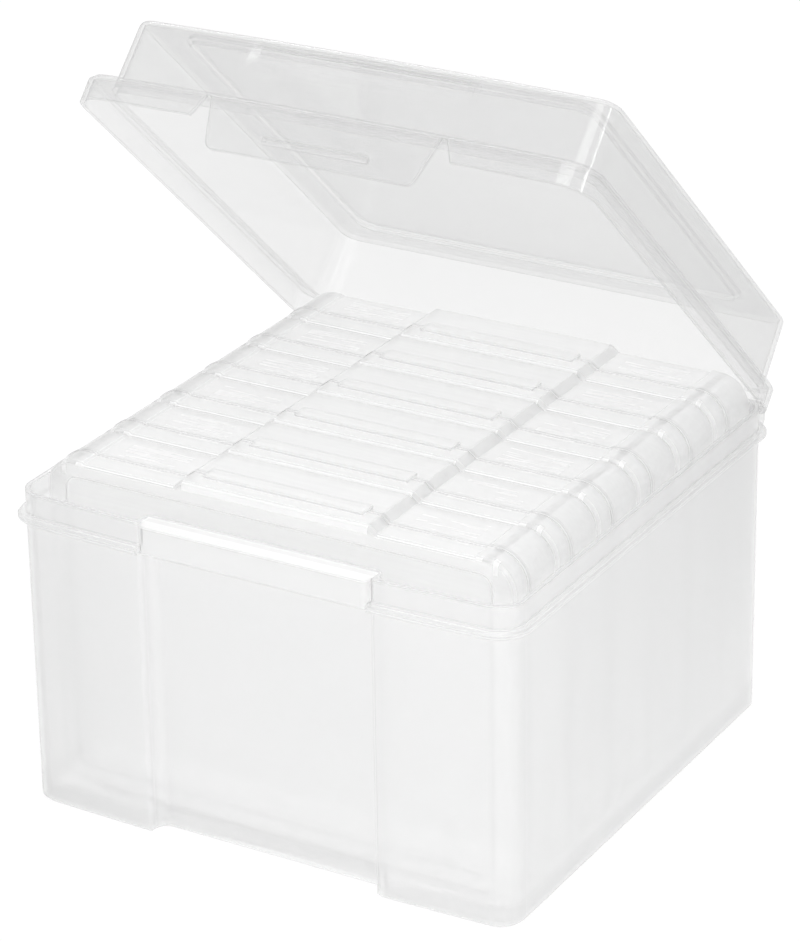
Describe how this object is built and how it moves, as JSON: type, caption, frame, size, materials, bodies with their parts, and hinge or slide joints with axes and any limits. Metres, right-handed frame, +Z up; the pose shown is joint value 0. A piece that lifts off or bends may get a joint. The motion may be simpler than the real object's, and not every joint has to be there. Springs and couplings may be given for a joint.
{
  "type": "photo keeper case",
  "caption": "Clear plastic keeper: a square tub with a hinged, latching lid that stores slim clamshell photo cases on edge.",
  "frame": {"origin": "centre of the tub's underside, on the plane that it stands on", "axes": "+Z up, -Y towards the latch at the front, +X to the right as seen from the front"},
  "size_m": [0.211, 0.2318, 0.2828],
  "materials": {
    "bin_plastic": "clear, glossy, slightly cloudy",
    "lid_plastic": "clear, glossy, slightly cloudy",
    "case_plastic": "clear, glossy",
    "cover_plastic": "clear, glossy"
  },
  "bodies": {
    "tub": {"outer_bin": "bin_plastic"},
    "lid": {"outer_lid": "lid_plastic"},
    "case_1": {"case_1_body": "case_plastic", "case_1_cover": "cover_plastic"},
    "case_2": {"case_2_body": "case_plastic", "case_2_cover": "cover_plastic"},
    "case_3": {"case_3_body": "case_plastic", "case_3_cover": "cover_plastic"},
    "case_4": {"case_4_body": "case_plastic", "case_4_cover": "cover_plastic"},
    "case_5": {"case_5_body": "case_plastic", "case_5_cover": "cover_plastic"},
    "case_6": {"case_6_body": "case_plastic", "case_6_cover": "cover_plastic"}
  },
  "joints": [
    {"name": "lid_hinge", "type": "hinge", "parent": "tub", "child": "lid", "pos_m": [0, 0.1042, 0.1205], "axis": [-1, 0, 0], "range_deg": [-43, 62]},
    {"name": "case_1_lift", "type": "slide", "parent": "tub", "child": "case_1", "axis": [0, 0, 1], "range_m": [0, 0.112]},
    {"name": "case_2_lift", "type": "slide", "parent": "tub", "child": "case_2", "axis": [0, 0, 1], "range_m": [0, 0.112]},
    {"name": "case_3_lift", "type": "slide", "parent": "tub", "child": "case_3", "axis": [0, 0, 1], "range_m": [0, 0.095]},
    {"name": "case_4_lift", "type": "slide", "parent": "tub", "child": "case_4", "axis": [0, 0, 1], "range_m": [0, 0.066]},
    {"name": "case_5_lift", "type": "slide", "parent": "tub", "child": "case_5", "axis": [0, 0, 1], "range_m": [0, 0.037]},
    {"name": "case_6_lift", "type": "slide", "parent": "tub", "child": "case_6", "axis": [0, 0, 1], "range_m": [0, 0.009]}
  ]
}
